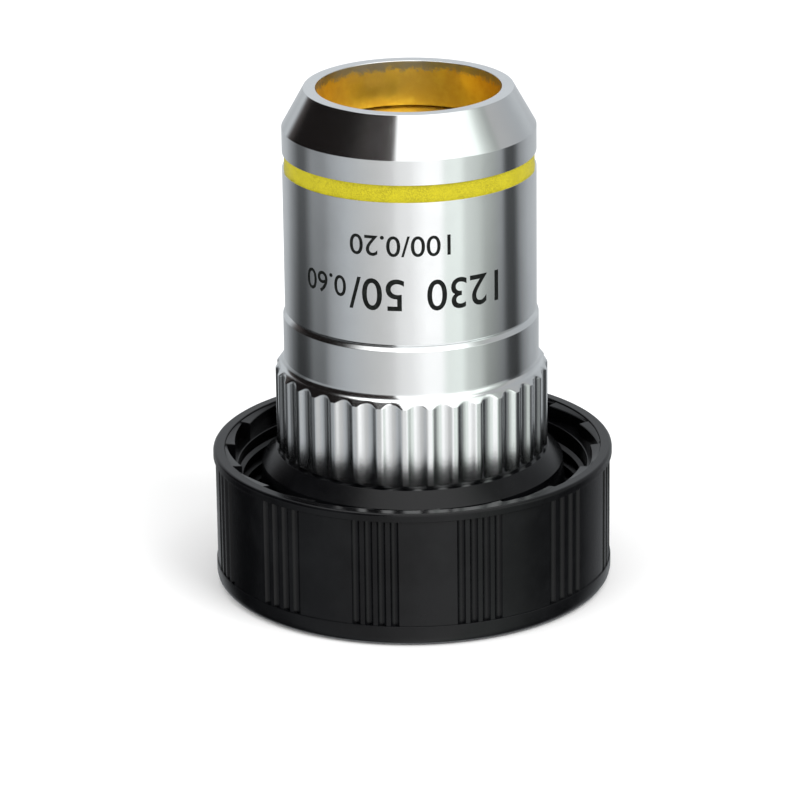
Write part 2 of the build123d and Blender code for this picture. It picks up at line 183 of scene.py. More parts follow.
class GridMesh:
    """A mesh made from a grid of points, with a normal worked out for each corner of each face.

    Rows follow an outline and columns go round the axis or along a helix.
    """

    SHARP_ACROSS = math.cos(math.radians(24.0))
    SHARP_ROUND = math.cos(math.radians(30.0))
    LONG_WINS = 3.0
    TINY = 1e-9

    def __init__(self, grid: np.ndarray, closed_rows: bool, closed_columns: bool) -> None:
        """Keeps the grid.

        Args:
            grid: points as rows, columns and coordinates.
            closed_rows: whether the last row joins the first.
            closed_columns: whether the last column joins the first.
        """
        self.grid = grid
        self.closed_rows = closed_rows
        self.closed_columns = closed_columns

    def _steps(self, axis: int) -> tuple[np.ndarray, np.ndarray]:
        """Unit directions and lengths from each point to the next.

        Args:
            axis: 0 for the next row, 1 for the next column.

        Returns:
            The directions and the lengths.
        """
        step = np.roll(self.grid, -1, axis=axis) - self.grid
        length = np.linalg.norm(step, axis=2)
        return step / np.maximum(length, self.TINY)[..., None], length

    def _side(self, own: np.ndarray, own_length: np.ndarray, other: np.ndarray,
              other_length: np.ndarray, sharp: float, long_wins: bool) -> np.ndarray:
        """Direction of a wall at a point, as one of the two steps that meet there shows it.

        Args:
            own: direction of the step that the face lies on.
            own_length: its length.
            other: direction of the step beyond the point.
            other_length: its length.
            sharp: cosine of the turn from which the point is an edge.
            long_wins: whether a step that is much longer keeps its own direction.

        Returns:
            The directions.
        """
        smooth = (own * other).sum(axis=2) > sharp
        smooth &= (own_length > self.TINY) & (other_length > self.TINY)
        mixed = own * other_length[..., None] + other * own_length[..., None]
        if long_wins:
            mixed = np.where((other_length > self.LONG_WINS * own_length)[..., None], other, mixed)
            mixed = np.where((own_length > self.LONG_WINS * other_length)[..., None], own, mixed)
        size = np.maximum(np.linalg.norm(mixed, axis=2), self.TINY)
        return np.where(smooth[..., None], mixed / size[..., None], own)

    def _corner_normals(self) -> dict[tuple[int, int], np.ndarray]:
        """Normals of the four corners of every face.

        Returns:
            For each corner of a face, by its row and column step, a grid of normals.
        """
        across, across_length = self._steps(0)
        around, around_length = self._steps(1)
        if not self.closed_rows:
            across_length[-1] = 0.0
        if not self.closed_columns:
            around_length[:, -1] = 0.0
        normals = {}
        for down in (0, 1):
            for right in (0, 1):
                row_turn = -1 if down else 1
                column_turn = -1 if right else 1
                wall = self._side(across, across_length, np.roll(across, row_turn, axis=0),
                                  np.roll(across_length, row_turn, axis=0), self.SHARP_ACROSS, True)
                ring_own = np.roll(around, -down, axis=0)
                ring_own_length = np.roll(around_length, -down, axis=0)
                ring = self._side(ring_own, ring_own_length, np.roll(ring_own, column_turn, axis=1),
                                  np.roll(ring_own_length, column_turn, axis=1), self.SHARP_ROUND, False)
                other_ring = np.roll(around, down - 1, axis=0)
                ring = np.where((ring_own_length > self.TINY)[..., None], ring, other_ring)
                wall = np.roll(wall, -right, axis=1)
                normal = np.cross(ring, wall)
                size = np.maximum(np.linalg.norm(normal, axis=2), self.TINY)
                normals[(down, right)] = normal / size[..., None]
        return normals

    def build(self, name: str) -> bpy.types.Object:
        """Makes the object.

        Args:
            name: its name.

        Returns:
            The object, linked to the scene.
        """
        rows, columns = self.grid.shape[:2]
        index = np.zeros((rows, columns), dtype=int)
        vertices: list[tuple[float, float, float]] = []
        for row in range(rows):
            pole = self.closed_columns and np.ptp(self.grid[row], axis=0).max() < self.TINY
            if pole:
                index[row] = len(vertices)
                vertices.append(tuple(self.grid[row, 0]))
            else:
                index[row] = np.arange(columns) + len(vertices)
                vertices.extend(map(tuple, self.grid[row]))
        normals = self._corner_normals()
        faces: list[tuple[int, ...]] = []
        corner_normals: list[np.ndarray] = []
        for row in range(rows if self.closed_rows else rows - 1):
            below, above = index[row], index[(row + 1) % rows]
            for column in range(columns if self.closed_columns else columns - 1):
                after = (column + 1) % columns
                loop = [(below[column], (0, 0)), (below[after], (0, 1)),
                        (above[after], (1, 1)), (above[column], (1, 0))]
                if below[column] == below[after]:
                    loop.pop(1)
                if above[column] == above[after]:
                    loop.pop(-1)
                faces.append(tuple(int(vertex) for vertex, _ in loop))
                corner_normals.extend(normals[place][row, column] for _, place in loop)
        if not self.closed_columns:
            for column, turn in ((0, -1), (columns - 1, 1)):
                ring = index[:, column][::turn]
                faces.append(tuple(int(vertex) for vertex in ring))
                corner_normals.extend([np.zeros(3)] * len(ring))
        mesh = bpy.data.meshes.new(name)
        mesh.from_pydata(vertices, [], faces)
        mesh.polygons.foreach_set("use_smooth", [True] * len(faces))
        mesh.normals_split_custom_set([tuple(normal) for normal in corner_normals])
        mesh.update()
        return placed(name, mesh)


def ring_angles(marks: Iterable[float] = (), widest: float = math.radians(1.4)) -> np.ndarray:
    """Angles once round the axis.

    Args:
        marks: angles that have to be among them.
        widest: largest step between two of them.

    Returns:
        The angles in rising order, the marks and even steps between them.
    """
    known = sorted({round(mark % TURN, 9) for mark in marks} or {0.0})
    angles: list[float] = []
    for index, low in enumerate(known):
        high = known[index + 1] if index + 1 < len(known) else known[0] + TURN
        count = max(1, math.ceil((high - low) / widest - SLACK))
        angles.extend(low + (high - low) * step / count for step in range(count))
    return np.array(angles)


def from_mark(angles: np.ndarray, mark: float, pitch: float = TURN) -> np.ndarray:
    """Angles measured from the nearest mark, where marks lie a pitch apart."""
    return (angles - mark + pitch / 2) % pitch - pitch / 2


def cutter_reach(axis: float, radius: float, away: np.ndarray) -> np.ndarray:
    """Where the near side of a round cutter lies that works from outside.

    Args:
        axis: distance between the cutter's axis and the piece's.
        radius: the cutter's radius.
        away: angles from the cutter's axis.

    Returns:
        The radii down to which it cuts.
    """
    under = np.maximum(radius**2 - (axis * np.sin(away)) ** 2, 0.0)
    return axis * np.cos(away) - np.sqrt(under)


def turned_piece(name: str, corners: Sequence[Corner], angles: np.ndarray, closed: bool = True,
                 shape: Optional[Shape] = None) -> bpy.types.Object:
    """Turns an outline round the axis.

    Args:
        name: the object's name.
        corners: the outline's corners.
        angles: the angles of the columns.
        closed: whether the outline's last corner joins its first. An open one ends on the axis.
        shape: gives the radii round the axis where a wall has a pattern.

    Returns:
        The object.
    """
    outline = Outline(corners, closed)
    grid = np.zeros((len(outline.radii), len(angles), 3))
    for row, (radius, height, pattern) in enumerate(
            zip(outline.radii, outline.heights, outline.patterns)):
        radii = np.full(len(angles), radius)
        if shape is not None and pattern is not Pattern.PLAIN:
            radii = shape(pattern, radii, angles)
        grid[row, :, 0] = radii * np.cos(angles)
        grid[row, :, 1] = radii * np.sin(angles)
        grid[row, :, 2] = height
    return GridMesh(grid, closed, True).build(name)


@dataclass(frozen=True)
class HelicalRidge:
    """A screw thread's ridge, wound on or in a round wall.

    Args:
        wall_radius: radius of the wall that it stands on.
        crest_radius: radius of its crest, inside the wall for an inner thread.
        pitch: rise in one turn.
        low: height at which it starts.
        turns: number of turns.
        root_width: its width at the wall.
        crest_width: its width at the crest.
        start: angle round the axis at which it starts.
    """

    wall_radius: float
    crest_radius: float
    pitch: float
    low: float
    turns: float
    root_width: float
    crest_width: float
    start: float = 0.0
    sunk: float = 0.03 * MM
    steps_in_turn: int = 120
    run_out_turns: float = 0.25
    end_share: float = 0.04

    def build(self, name: str) -> bpy.types.Object:
        """Winds the ridge.

        Args:
            name: the object's name.

        Returns:
            The object.
        """
        outward = 1.0 if self.crest_radius > self.wall_radius else -1.0
        root = self.wall_radius - outward * self.sunk
        half_root, half_crest = self.root_width / 2, self.crest_width / 2
        section = [(root, -half_root), (self.wall_radius, -half_root), (self.crest_radius, -half_crest),
                   (self.crest_radius, half_crest), (self.wall_radius, half_root), (root, half_root)]
        if outward < 0:
            section.reverse()
        count = int(self.turns * self.steps_in_turn) + 1
        grid = np.zeros((len(section), count, 3))
        for column in range(count):
            turned = column / self.steps_in_turn
            left = min(turned, self.turns - turned) / self.run_out_turns
            share = self.end_share + (1.0 - self.end_share) * min(1.0, max(0.0, left))
            angle = self.start + TURN * turned
            for row, (radius, offset) in enumerate(section):
                out = root + (radius - root) * share
                grid[row, column] = (out * math.cos(angle), out * math.sin(angle),
                                     self.low + self.pitch * turned + offset * share)
        return GridMesh(grid, True, False).build(name)


def dress(piece: bpy.types.Object, body: Body, slot: Slot, material: bpy.types.Material,
          stands_for: Sequence[str] = ()) -> None:
    """Gives a piece its body and its material, hides the frame's nodes that it stands for, and logs its
    slot.

    Args:
        piece: the piece.
        body: the body that it rides on.
        slot: the record's material slot that its finish comes from.
        material: its material.
        stands_for: the frame's nodes that it replaces.
    """
    if not piece.data.materials:
        piece.data.materials.append(material)
    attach(piece, body.value)
    if stands_for:
        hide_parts(*stands_for)
    faces = len(piece.data.polygons)
    LOG.info("%s rides on %s in %s, %d faces", piece.name, body.value, slot.value, faces)


Colour = tuple[float, float, float, float]
Span = tuple[float, float]
Socket = bpy.types.NodeSocket


def grey(level: float) -> Colour:
    """A grey of some brightness."""
    return (level, level, level, 1.0)


@dataclass(frozen=True)
class Grain:
    """Noise that mottles a finish.

    Args:
        scale: how fine it is, per metre.
        detail: how many finer layers lie on it.
        roughness: how strong those layers are.
        span: the values of the noise at which its marks start and are full.
    """

    scale: float
    detail: float = 3.0
    roughness: float = 0.5
    span: Span = (0.3, 0.7)


@dataclass(frozen=True)
class ToolMarks:
    """Fine lines that a lathe leaves round the axis.

    Args:
        around: how fast they change round the axis, per metre.
        along: how fast they change along a wall and across a face, per metre.
        depth: their depth.
        strength: how much of it shows.
        grain: their noise, whose scale is one because the lines are stretched already.
    """

    around: float
    along: float
    depth: float
    strength: float
    grain: Grain = Grain(1.0)


class NodeBench:
    """A material's node tree, with short ways to add and join nodes."""

    FACE_SHARE = 0.7

    def __init__(self, name: str) -> None:
        """Makes an empty material around one surface shader.

        Args:
            name: the material's name.
        """
        self.material = bpy.data.materials.new(name)
        self.material.use_nodes = True
        self.tree = self.material.node_tree
        self.shader = self.tree.nodes["Principled BSDF"]

    def add(self, kind: str, **settings: object) -> bpy.types.Node:
        """Adds a node.

        Args:
            kind: the node's type.
            settings: properties of the node.

        Returns:
            The node.
        """
        node = self.tree.nodes.new(kind)
        for key, value in settings.items():
            setattr(node, key, value)
        return node

    def join(self, source: object, target: Socket) -> None:
        """Links a socket to another, or sets a number on it."""
        if isinstance(source, bpy.types.NodeSocket):
            self.tree.links.new(source, target)
        else:
            target.default_value = source

    def fill(self, node: bpy.types.Node, **sources: object) -> None:
        """Joins or sets a node's sockets, named with _ for a space."""
        for key, source in sources.items():
            self.join(source, node.inputs[key.replace("_", " ")])

    def maths(self, operation: str, first: object, second: object = 0.0) -> Socket:
        """Adds a sum on one or two numbers.

        Args:
            operation: the Math node's operation.
            first: a socket or a number.
            second: a socket or a number.

        Returns:
            The result's socket.
        """
        node = self.add("ShaderNodeMath", operation=operation)
        self.join(first, node.inputs[0])
        self.join(second, node.inputs[1])
        return node.outputs[0]

    def length(self, first: Socket, second: Socket) -> Socket:
        """Length of a line with these two sides."""
        squares = [self.maths("MULTIPLY", side, side) for side in (first, second)]
        return self.maths("SQRT", self.maths("ADD", *squares))

    def place(self) -> Socket:
        """The point on the surface, in metres."""
        return self.add("ShaderNodeTexCoord").outputs["Object"]

    def parted(self) -> tuple[Socket, Socket, Socket]:
        """The point's three coordinates."""
        parts = self.add("ShaderNodeSeparateXYZ")
        self.join(self.place(), parts.inputs[0])
        return parts.outputs[0], parts.outputs[1], parts.outputs[2]

    def noise(self, grain: Grain, place: Optional[Socket] = None) -> Socket:
        """Adds noise.

        Args:
            grain: how fine it is.
            place: where it is read, or None for the point on the surface.

        Returns:
            Its value, mostly between 0.3 and 0.7.
        """
        node = self.add("ShaderNodeTexNoise")
        where = self.place() if place is None else place
        self.fill(node, Vector=where, Scale=grain.scale, Detail=grain.detail, Roughness=grain.roughness)
        return node.outputs[0]

    def turned_lines(self, marks: ToolMarks) -> Socket:
        """Adds noise that is drawn out round the axis, as a lathe leaves it.

        Args:
            marks: how fine the lines are.

        Returns:
            The noise's value.
        """
        x, y, z = self.parted()
        walk = self.maths("ADD", z, self.maths("MULTIPLY", self.length(x, y), self.FACE_SHARE))
        joined = self.add("ShaderNodeCombineXYZ")
        stretches = (marks.around, marks.around, marks.along)
        for value, stretch, target in zip((x, y, walk), stretches, joined.inputs):
            self.join(self.maths("MULTIPLY", value, stretch), target)
        return self.noise(marks.grain, joined.outputs[0])

    def spread(self, value: Socket, span: Span, result: Span = (0.0, 1.0)) -> Socket:
        """Stretches a value from one range to another and keeps it there.

        Args:
            value: the value.
            span: what becomes the ends of the result.
            result: those ends.

        Returns:
            The result's socket.
        """
        node = self.add("ShaderNodeMapRange", interpolation_type="SMOOTHSTEP")
        self.fill(node, Value=value, From_Min=span[0], From_Max=span[1], To_Min=result[0], To_Max=result[1])
        return node.outputs["Result"]

    def blend(self, share: Socket, first: object, second: object) -> Socket:
        """Mixes two colours.

        Args:
            share: how much of the second there is.
            first: a colour or its socket.
            second: a colour or its socket.

        Returns:
            The colour's socket.
        """
        node = self.add("ShaderNodeMix", data_type="RGBA")
        self.join(share, node.inputs["Factor"])
        colours = [socket for socket in node.inputs if socket.type == "RGBA"]
        self.join(first, colours[0])
        self.join(second, colours[1])
        return node.outputs[2]

    def bump(self, height: Socket, distance: float, strength: float) -> Socket:
        """Adds a bump.

        Args:
            height: its height map.
            distance: depth of a height of one, in metres.
            strength: how much of it shows.

        Returns:
            The bent normal's socket.
        """
        node = self.add("ShaderNodeBump")
        self.fill(node, Strength=strength, Distance=distance, Height=height)
        return node.outputs[0]

    def finish(self, **sources: object) -> bpy.types.Material:
        """Joins or sets the shader's sockets, named with _ for a space, and returns the material."""
        self.fill(self.shader, **sources)
        return self.material


@dataclass(frozen=True)
class ChromePlate:
    """Bright chrome over turned metal: sharp round the axis, softer along it."""

    name: str = "chrome plate"
    tint: Colour = (0.80, 0.815, 0.82, 1.0)
    handled: Colour = (0.776, 0.79055, 0.7954, 1.0)
    handled_span: Span = (0.35, 0.7)
    roughness: Span = (0.1564, 0.187)
    drawn_out: float = 0.75
    drawn_out_turn: float = 0.25
    turning: ToolMarks = ToolMarks(40.0, 1.0 / (0.09 * MM), 0.0004 * MM, 0.5, Grain(1.0, 2.0))
    patches: Grain = Grain(260.0, 4.0, 0.6, (0.3, 0.75))

    def build(self) -> bpy.types.Material:
        """Makes the material."""
        bench = NodeBench(self.name)
        lines = bench.turned_lines(self.turning)
        patches = bench.noise(self.patches)
        tangent = bench.add("ShaderNodeTangent", direction_type="RADIAL", axis="Z")
        return bench.finish(
            Base_Color=bench.blend(bench.spread(patches, self.handled_span), self.tint, self.handled),
            Metallic=1.0,
            Roughness=bench.spread(patches, self.patches.span, self.roughness),
            Anisotropic=self.drawn_out,
            Anisotropic_Rotation=self.drawn_out_turn,
            Tangent=tangent.outputs[0],
            Normal=bench.bump(lines, self.turning.depth, self.turning.strength),
        )


@dataclass(frozen=True)
class TurnedBrass:
    """Bare brass with the marks of the tool, and dull grey where plating has crept over its mouth.

    Args:
        name: the material's name.
        mouth: height at which the plating's edge lies, or None for a piece that has none.
    """

    name: str
    mouth: Optional[float] = None
    bright: Colour = (1.0, 0.78, 0.19, 1.0)
    dull: Colour = (0.86, 0.61, 0.12, 1.0)
    plated: Colour = (0.42, 0.42, 0.38, 1.0)
    roughness: Span = (0.288, 0.486)
    roughness_span: Span = (0.3, 0.7)
    turning: ToolMarks = ToolMarks(120.0, 9000.0, 0.006 * MM, 0.35, Grain(1.0, 3.0, 0.6))
    cloud: Grain = Grain(420.0, 5.0, 0.62, (0.36, 0.66))
    ragged: Grain = Grain(1400.0, 6.0, 0.75)
    ragged_depth: float = 2.2 * MM
    creep: Span = (0.495 * MM, 1.1 * MM)

    def _bare(self, bench: NodeBench) -> Socket:
        """How bare the bore is at a point: nothing at its mouth and one below the plating's ragged edge."""
        depth = bench.maths("SUBTRACT", self.mouth, bench.parted()[2])
        ragged = bench.maths("SUBTRACT", bench.noise(self.ragged), 0.5)
        edge = bench.maths("ADD", depth, bench.maths("MULTIPLY", ragged, self.ragged_depth))
        return bench.spread(edge, self.creep)

    def build(self) -> bpy.types.Material:
        """Makes the material."""
        bench = NodeBench(self.name)
        cloud = bench.noise(self.cloud)
        colour = bench.blend(bench.spread(cloud, self.cloud.span), self.bright, self.dull)
        if self.mouth is not None:
            colour = bench.blend(self._bare(bench), self.plated, colour)
        return bench.finish(
            Base_Color=colour,
            Metallic=1.0,
            Roughness=bench.spread(cloud, self.roughness_span, self.roughness),
            Normal=bench.bump(bench.turned_lines(self.turning), self.turning.depth, self.turning.strength),
        )


@dataclass(frozen=True)
class BandEnamel:
    """Yellow enamel with a fine grain, laid in a groove."""

    name: str = "yellow enamel"
    light: Colour = (0.52, 0.455, 0.010, 1.0)
    deep: Colour = (0.33, 0.285, 0.007, 1.0)
    grain: Grain = Grain(8500.0, 2.0, 0.6, (0.35, 0.65))
    grain_depth: float = 0.015 * MM
    swirl: Grain = Grain(700.0, span=(0.2, 0.7))
    swirl_share: Span = (0.35, 1.0)

    def build(self) -> bpy.types.Material:
        """Makes the material."""
        bench = NodeBench(self.name)
        grain = bench.noise(self.grain)
        swirl = bench.spread(bench.noise(self.swirl), self.swirl.span, self.swirl_share)
        share = bench.maths("MULTIPLY", bench.spread(grain, self.grain.span), swirl)
        return bench.finish(
            Base_Color=bench.blend(share, self.light, self.deep),
            Roughness=0.42,
            Specular_IOR_Level=0.2,
            Normal=bench.bump(grain, self.grain_depth, 0.5),
        )


@dataclass(frozen=True)
class MouldedPlastic:
    """Black moulded plastic with a satin skin and faint rub marks."""

    name: str = "black plastic"
    base: Colour = (0.0018, 0.0019, 0.0024, 1.0)
    worn: Colour = (0.0038, 0.0040, 0.0047, 1.0)
    roughness: Span = (0.1955, 0.276)
    roughness_span: Span = (0.3, 0.72)
    rubbed: Grain = Grain(160.0, 4.0, 0.65, (0.38, 0.68))
    skin: Grain = Grain(3800.0, 3.0, 0.6)
    skin_depth: float = 0.006 * MM

    def build(self) -> bpy.types.Material:
        """Makes the material."""
        bench = NodeBench(self.name)
        rubbed = bench.noise(self.rubbed)
        return bench.finish(
            Base_Color=bench.blend(bench.spread(rubbed, self.rubbed.span), self.base, self.worn),
            Roughness=bench.spread(rubbed, self.roughness_span, self.roughness),
            Specular_IOR_Level=0.23,
            Normal=bench.bump(bench.noise(self.skin), self.skin_depth, 0.3),
        )


@dataclass(frozen=True)
class BlackenedBrass:
    """Brass blackened against stray light, with turned lines that catch a little of it."""

    name: str = "blackened brass"
    base: Colour = (0.018, 0.017, 0.016, 1.0)
    rubbed: Colour = (0.045, 0.038, 0.026, 1.0)
    turning: ToolMarks = ToolMarks(90.0, 7000.0, 0.01 * MM, 0.4, Grain(1.0, span=(0.45, 0.75)))

    def build(self) -> bpy.types.Material:
        """Makes the material."""
        bench = NodeBench(self.name)
        lines = bench.turned_lines(self.turning)
        return bench.finish(
            Base_Color=bench.blend(bench.spread(lines, self.turning.grain.span), self.base, self.rubbed),
            Metallic=0.6,
            Roughness=0.52,
            Normal=bench.bump(lines, self.turning.depth, self.turning.strength),
        )


@dataclass(frozen=True)
class CoatedGlass:
    """Lens glass with a thin violet coating."""

    name: str = "coated glass"
    tint: Colour = (0.90, 0.95, 0.97, 1.0)
    coating: Colour = (0.45, 0.36, 0.85, 1.0)
    film: Grain = Grain(90.0, 2.0)

    def build(self) -> bpy.types.Material:
        """Makes the material."""
        bench = NodeBench(self.name)
        film = bench.spread(bench.noise(self.film), self.film.span)
        return bench.finish(
            Base_Color=bench.blend(film, self.tint, grey(1.0)),
            Roughness=0.02,
            IOR=1.52,
            Transmission_Weight=1.0,
            Specular_Tint=self.coating,
            Coat_Weight=0.3,
            Coat_Roughness=0.03,
            Coat_Tint=self.coating,
        )


@dataclass(frozen=True)
class PrintedInk:
    """Black ink in a shallow mark, slightly uneven."""

    name: str = "black ink"
    base: Colour = (0.004, 0.005, 0.0045, 1.0)
    thin: Colour = (0.014, 0.017, 0.015, 1.0)
    spots: Grain = Grain(2600.0, 4.0, 0.7, (0.45, 0.7))
    spot_depth: float = 0.008 * MM

    def build(self) -> bpy.types.Material:
        """Makes the material."""
        bench = NodeBench(self.name)
        spots = bench.noise(self.spots)
        return bench.finish(
            Base_Color=bench.blend(bench.spread(spots, self.spots.span), self.base, self.thin),
            Roughness=0.5,
            Specular_IOR_Level=0.12,
            Normal=bench.bump(spots, self.spot_depth, 0.3),
        )


@dataclass(frozen=True)
class Finishes:
    """One material of each finish."""

    chrome: bpy.types.Material
    bore_brass: bpy.types.Material
    ring_brass: bpy.types.Material
    enamel: bpy.types.Material
    plastic: bpy.types.Material
    black_metal: bpy.types.Material
    glass: bpy.types.Material
    ink: bpy.types.Material

    @classmethod
    def make(cls, mouth: float) -> "Finishes":
        """Makes every material.

        Args:
            mouth: height of the nose's mouth.

        Returns:
            The finishes.
        """
        return cls(
            chrome=ChromePlate().build(),
            bore_brass=TurnedBrass("bore brass", mouth).build(),
            ring_brass=TurnedBrass("ring brass").build(),
            enamel=BandEnamel().build(),
            plastic=MouldedPlastic().build(),
            black_metal=BlackenedBrass().build(),
            glass=CoatedGlass().build(),
            ink=PrintedInk().build(),
        )


def node_top(node: str) -> float:
    """Highest point of a node of the frame."""
    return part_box(node)[1][2]


def node_foot(node: str) -> float:
    """Lowest point of a node of the frame."""
    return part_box(node)[0][2]


def node_radius(node: str) -> float:
    """Largest radius of a round node of the frame."""
    low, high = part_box(node)
    return (high[0] - low[0]) / 2


def measured(measure: Callable[[str], float], node: str) -> float:
    """A dataclass field whose value is measured on a node of the frame."""
    return field(default_factory=lambda: measure(node))


@dataclass
class StorageCap:
    """The black cap: wall with grip, rim, ratchet lip, boss, and the thread for its tube."""

    rim_radius: float = measured(node_radius, "storage_cap")
    height: float = measured(node_top, "storage_cap")
    floor: float = 2.0 * MM
    rim_step: float = 0.2 * MM
    rim_height: float = 0.8 * MM
    flange_step: float = 0.1 * MM
    flange_height: float = 2.0 * MM
    foot_rounding: float = 1.9 * MM
    wall_thickness: float = 2.2 * MM
    edge: float = 0.12 * MM
    rim_rounding: float = 0.3 * MM
    flange_edge: float = 0.05 * MM
    flange_land: float = 0.02 * MM
    rim_edge: float = 0.06 * MM
    lip_edge: float = 0.09 * MM
    floor_rounding: float = 0.3 * MM
    boss_edge: float = 0.08 * MM
    mouth_edge: float = 0.04 * MM
    bore_rounding: float = 0.15 * MM

    lip_width: float = 1.1 * MM
    lip_step: float = 0.25 * MM
    ramp_count: int = 18
    ramp_height: float = 1.6 * MM
    ramp_shallow_step: float = 0.2 * MM
    ramp_deep_step: float = 0.3 * MM
    ramp_phase: float = math.radians(8.0) + FRONT
    ramp_back: float = math.radians(0.12)

    tube_gap: float = 2.3 * MM
    boss_wall: float = 4.32 * MM
    boss_chamfer: float = 1.4 * MM
    mouth_chamfer: float = 0.4 * MM

    grip_groups: int = 12
    grooves_in_group: int = 4
    groove_pitch: float = math.radians(3.7)
    groove_radius: float = 0.42 * MM
    groove_depth: float = 0.3 * MM
    groove_steps: int = 8
    grip_phase: float = math.radians(-11.0) + FRONT

    tube_pitch: float = 1.5 * MM
    tube_turns: float = 5.2
    tube_ridge: float = 0.4 * MM
    tube_widths: Span = (0.7 * MM, 0.25 * MM)
    tube_lead: float = 1.0 * MM
    mount_ridge: float = 0.42 * MM
    mount_widths: Span = (0.52 * MM, 0.1 * MM)
    mount_lead: float = 0.8 * MM
    mount_end: float = 0.3 * MM

    @property
    def panel_radius(self) -> float:
        """Radius of the plain panels between the grooves."""
        return self.rim_radius - self.rim_step

    @property
    def wall_radius(self) -> float:
        """Radius of the inner wall."""
        return self.panel_radius - self.wall_thickness

    @property
    def boss_radius(self) -> float:
        """Outer radius of the boss."""
        return self.wall_radius - self.tube_gap

    @property
    def boss_bore(self) -> float:
        """Radius of the threaded hole in the boss."""
        return self.boss_radius - self.boss_wall

    @property
    def ramp_radii(self) -> tuple[float, float]:
        """Radius of a ramp where it starts and where it ends."""
        shallow = self.rim_radius - self.lip_width - self.ramp_shallow_step
        return shallow, self.wall_radius + self.ramp_deep_step

    @property
    def groove_axis(self) -> float:
        """Distance of a grip groove's own axis from the cap's."""
        return self.panel_radius - self.groove_depth + self.groove_radius

    @property
    def mount_low(self) -> float:
        """Height at which the thread in the boss starts."""
        return self.floor + self.mount_lead

    def groove_centres(self) -> list[float]:
        """Angles of all the grip grooves."""
        centres = []
        for group in range(self.grip_groups):
            for index in range(self.grooves_in_group):
                offset = (index - (self.grooves_in_group - 1) / 2) * self.groove_pitch
                centres.append(self.grip_phase + group * TURN / self.grip_groups + offset)
        return centres

    def groove_half_width(self) -> float:
        """Half the angle that a groove takes up at the panels' radius."""
        panel, axis = self.panel_radius, self.groove_axis
        return math.acos((panel**2 + axis**2 - self.groove_radius**2) / (2 * panel * axis))

    def angles(self) -> np.ndarray:
        """Angles of the columns: the grooves' own, the ramps' ends, and steps between them."""
        half = self.groove_half_width()
        marks = []
        for centre in self.groove_centres():
            for step in range(self.groove_steps + 1):
                marks.append(centre + half * (2 * step / self.groove_steps - 1))
        for index in range(self.ramp_count):
            start = self.ramp_phase + index * TURN / self.ramp_count
            marks.extend((start, start + self.ramp_back))
        return ring_angles(marks)

    def wall_shape(self, pattern: Pattern, radii: np.ndarray, angles: np.ndarray) -> np.ndarray:
        """Radii of a patterned wall.

        Args:
            pattern: grip grooves outside or ramps inside.
            radii: the outline's radii.
            angles: the columns' angles.

        Returns:
            The changed radii.
        """
        if pattern is Pattern.GRIP:
            return radii - self._groove_cut(angles)
        return radii + self._ramp_rise(angles)

    def _groove_cut(self, angles: np.ndarray) -> np.ndarray:
        """How deep the grooves are cut, by angle."""
        cut = np.zeros_like(angles)
        for centre in self.groove_centres():
            away = np.abs(from_mark(angles, centre))
            inside = away < self.groove_half_width() + SLACK
            reach = cutter_reach(self.groove_axis, self.groove_radius, away)
            cut = np.where(inside, np.maximum(self.panel_radius - reach, 0.0), cut)
        return cut

    def _ramp_rise(self, angles: np.ndarray) -> np.ndarray:
        """How far the ramps stand out from their mean radius, by angle."""
        shallow, deep = self.ramp_radii
        step = TURN / self.ramp_count
        turned = (angles - self.ramp_phase) % step
        share = np.clip((turned - self.ramp_back) / (step - self.ramp_back), 0.0, 1.0)
        share = np.where(turned < self.ramp_back - SLACK, 1.0 - turned / self.ramp_back, share)
        return (shallow - deep) * (0.5 - share)

    def corners(self) -> list[Corner]:
        """The cap's outline, from the middle of its foot to the middle of its floor."""
        top, rim = self.height, self.rim_radius
        panel, flange = self.panel_radius, self.panel_radius + self.flange_step
        rim_foot = top - self.rim_height
        land = top - self.lip_step
        ramp = sum(self.ramp_radii) / 2
        ramp_foot = land - self.ramp_height
        lip = rim - self.lip_width
        bore, boss, wall, edge = self.boss_bore, self.boss_radius, self.wall_radius, self.edge
        return [
            Corner(0.0, 0.0),
            Corner(flange, 0.0, self.foot_rounding),
            Corner(flange, self.flange_height, self.flange_edge),
            Corner(panel, self.flange_height + self.flange_land, 0.0, Pattern.GRIP),
            Corner(panel, rim_foot - edge, 0.0, Pattern.GRIP),
            Corner(rim, rim_foot, self.rim_edge),
            Corner(rim, top, self.rim_rounding),
            Corner(lip, top, self.lip_edge),
            Corner(lip, land, self.rim_edge),
            Corner(ramp, land, edge, Pattern.RAMP),
            Corner(ramp, ramp_foot, 0.0, Pattern.RAMP),
            Corner(wall, ramp_foot, edge),
            Corner(wall, self.floor, self.floor_rounding),
            Corner(boss, self.floor, self.floor_rounding),
            Corner(boss, top - self.boss_chamfer, edge),
            Corner(boss - self.boss_chamfer, top, self.boss_edge),
            Corner(bore + self.mouth_chamfer, top, self.mouth_edge),
            Corner(bore, top - self.mouth_chamfer, self.mouth_edge),
            Corner(bore, self.floor, self.bore_rounding),
            Corner(0.0, self.floor),
        ]

    def build(self, finishes: Finishes) -> None:
        """Makes the cap and its two threads.

        Args:
            finishes: the materials.
        """
        cap = turned_piece("cap_moulding", self.corners(), self.angles(), False, self.wall_shape)
        dress(cap, Body.CAP, Slot.PLASTIC, finishes.plastic, ["storage_cap"])
        tube = HelicalRidge(self.wall_radius, self.wall_radius - self.tube_ridge, self.tube_pitch,
                            self.floor + self.tube_lead, self.tube_turns, *self.tube_widths, FRONT)
        turns = (self.height - self.mouth_chamfer - self.mount_end - self.mount_low) / MOUNT_PITCH
        boss = HelicalRidge(self.boss_bore, self.boss_bore - self.mount_ridge, MOUNT_PITCH, self.mount_low,
                            turns, *self.mount_widths, FRONT)
        for thread in (tube.build("cap_tube_thread"), boss.build("cap_boss_thread")):
            dress(thread, Body.CAP, Slot.PLASTIC, finishes.plastic)


